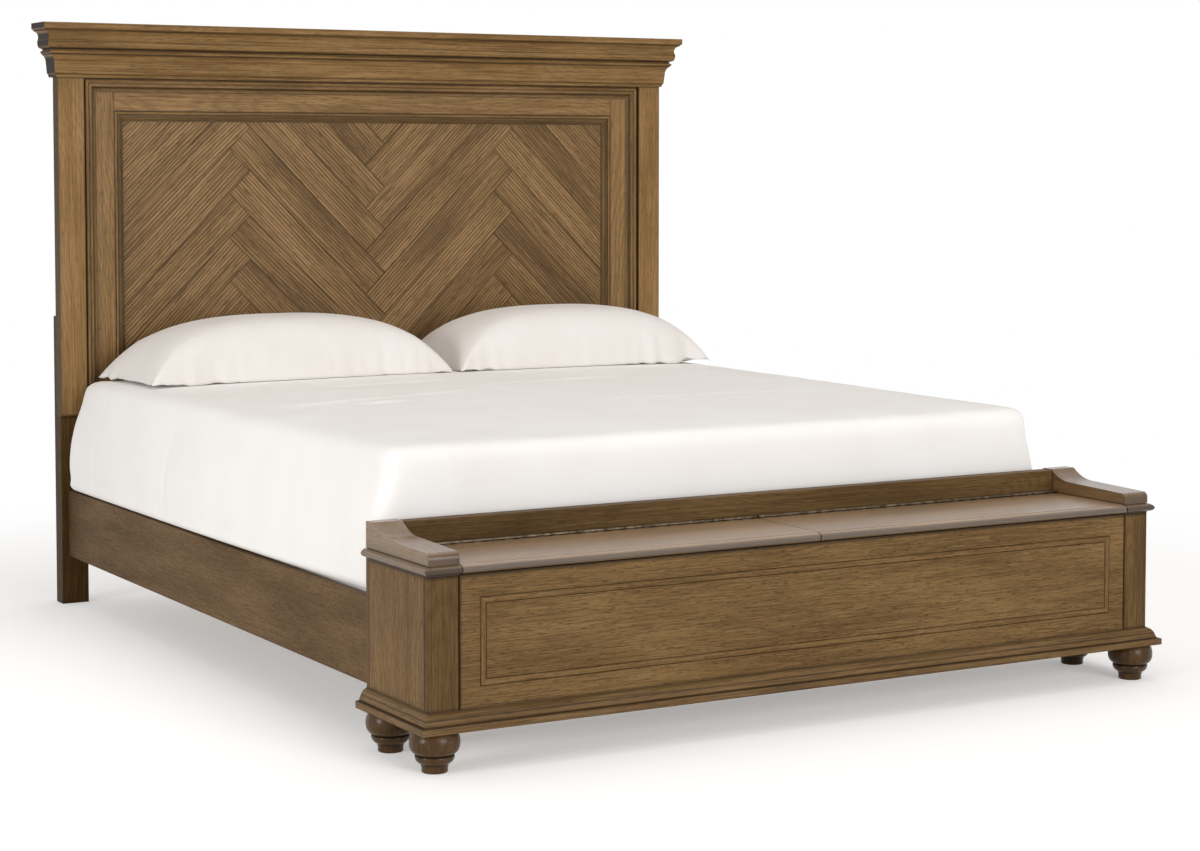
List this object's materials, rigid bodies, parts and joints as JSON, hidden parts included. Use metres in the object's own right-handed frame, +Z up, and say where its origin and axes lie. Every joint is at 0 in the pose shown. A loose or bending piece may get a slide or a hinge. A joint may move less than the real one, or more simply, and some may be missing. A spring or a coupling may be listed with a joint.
{
  "type": "storage bed",
  "caption": "Panelled bed with a moulded crown over a herringbone headboard, slatted side rails and a lidded storage bench on turned bun feet across the foot.",
  "frame": {"origin": "on the floor, under the middle of the whole bed", "axes": "+X to the right seen from the foot, +Y from the foot to the headboard, +Z up"},
  "size_m": [2.162, 2.4953, 1.707],
  "materials": {
    "glazed_oak": "brown glaze over wire-brushed oak veneer, satin lacquer",
    "herringbone_oak": "oak veneer leaves laid herringbone, open grain, satin lacquer",
    "dark_oak": "dark glazed oak, satin lacquer",
    "grey_brown_rail": "grey-brown stained oak veneer, satin lacquer",
    "turned_foot": "turned solid wood, dark glaze, semi-gloss lacquer",
    "veneered_board": "plain veneered fibreboard, unfinished",
    "pine": "planed pine",
    "zinc_steel": "zinc-plated steel",
    "aged_brass": "brass-plated steel, dulled",
    "rubber_pad": "matte rubber",
    "white_cotton": "plain-woven white cotton"
  },
  "bodies": {
    "root": {"pilaster_left": "glazed_oak", "pilaster_right": "glazed_oak", "headboard_core": "veneered_board", "headboard_stiles": "glazed_oak", "top_rail": "glazed_oak", "bottom_rail": "glazed_oak", "outer_moulding": "glazed_oak", "inner_moulding": "glazed_oak", "herringbone_leaves": "herringbone_oak", "crown_core": "veneered_board", "crown_cap": "glazed_oak", "crown_frieze": "glazed_oak", "leg_left": "dark_oak", "leg_right": "dark_oak", "frame_bolts": "zinc_steel", "side_rail_left": "grey_brown_rail", "side_rail_right": "grey_brown_rail", "slat_ledgers": "pine", "slats": "pine", "centre_beam": "pine", "centre_legs": "pine", "centre_glides": "zinc_steel", "rail_brackets": "zinc_steel", "post_left": "glazed_oak", "post_right": "glazed_oak", "front_panel": "glazed_oak", "panel_bead": "glazed_oak", "side_panel_left": "glazed_oak", "side_panel_right": "glazed_oak", "end_panels": "veneered_board", "back_panel": "dark_oak", "bottom_panel": "veneered_board", "divider": "veneered_board", "corner_blocks": "pine", "base_moulding": "glazed_oak", "cap_board_left": "glazed_oak", "cap_board_right": "glazed_oak", "arm_left": "glazed_oak", "arm_right": "glazed_oak", "gallery_rail": "glazed_oak", "hinge_rail": "glazed_oak", "hinge_fixed_leaves": "aged_brass", "hinge_pins": "zinc_steel", "stay_box_plates": "zinc_steel", "bun_feet": "turned_foot", "foot_bolts": "zinc_steel", "lid_bumpers": "rubber_pad", "mattress": "white_cotton", "pillow_left": "white_cotton", "pillow_right": "white_cotton"},
    "lid_left_body": {"lid_left": "glazed_oak", "hinge_lid_leaf_left": "aged_brass", "stay_lid_bracket_left": "zinc_steel"},
    "lid_right_body": {"lid_right": "glazed_oak", "hinge_lid_leaf_right": "aged_brass", "stay_lid_bracket_right": "zinc_steel"},
    "stay_lower_left_body": {"stay_lower_left": "aged_brass"},
    "stay_lower_right_body": {"stay_lower_right": "aged_brass"},
    "stay_upper_left_body": {"stay_upper_left": "aged_brass"},
    "stay_upper_right_body": {"stay_upper_right": "aged_brass"}
  },
  "joints": [
    {"name": "lid_left_hinge", "type": "hinge", "parent": "root", "child": "lid_left_body", "pos_m": [0, -0.9615, 0.4517], "axis": [-1, 0, 0], "range_deg": [0, 95]},
    {"name": "stay_lower_left_pivot", "type": "hinge", "parent": "root", "child": "stay_lower_left_body", "pos_m": [0, -0.99515, 0.32613], "axis": [-1, 0, 0], "range_deg": [0, 95]},
    {"name": "stay_upper_left_pivot", "type": "hinge", "parent": "lid_left_body", "child": "stay_upper_left_body", "pos_m": [0, -1.08519, 0.4117], "axis": [-1, 0, 0], "range_deg": [-95, 0]},
    {"name": "lid_right_hinge", "type": "hinge", "parent": "root", "child": "lid_right_body", "pos_m": [0, -0.9615, 0.4517], "axis": [-1, 0, 0], "range_deg": [0, 95]},
    {"name": "stay_lower_right_pivot", "type": "hinge", "parent": "root", "child": "stay_lower_right_body", "pos_m": [0, -0.99515, 0.32613], "axis": [-1, 0, 0], "range_deg": [0, 95]},
    {"name": "stay_upper_right_pivot", "type": "hinge", "parent": "lid_right_body", "child": "stay_upper_right_body", "pos_m": [0, -1.08519, 0.4117], "axis": [-1, 0, 0], "range_deg": [-95, 0]}
  ],
  "couplings": [
    {"joint": "stay_lower_left_pivot", "follows": "lid_left_hinge", "ratio": 1},
    {"joint": "stay_upper_left_pivot", "follows": "lid_left_hinge", "ratio": -1},
    {"joint": "stay_lower_right_pivot", "follows": "lid_right_hinge", "ratio": 1},
    {"joint": "stay_upper_right_pivot", "follows": "lid_right_hinge", "ratio": -1}
  ]
}
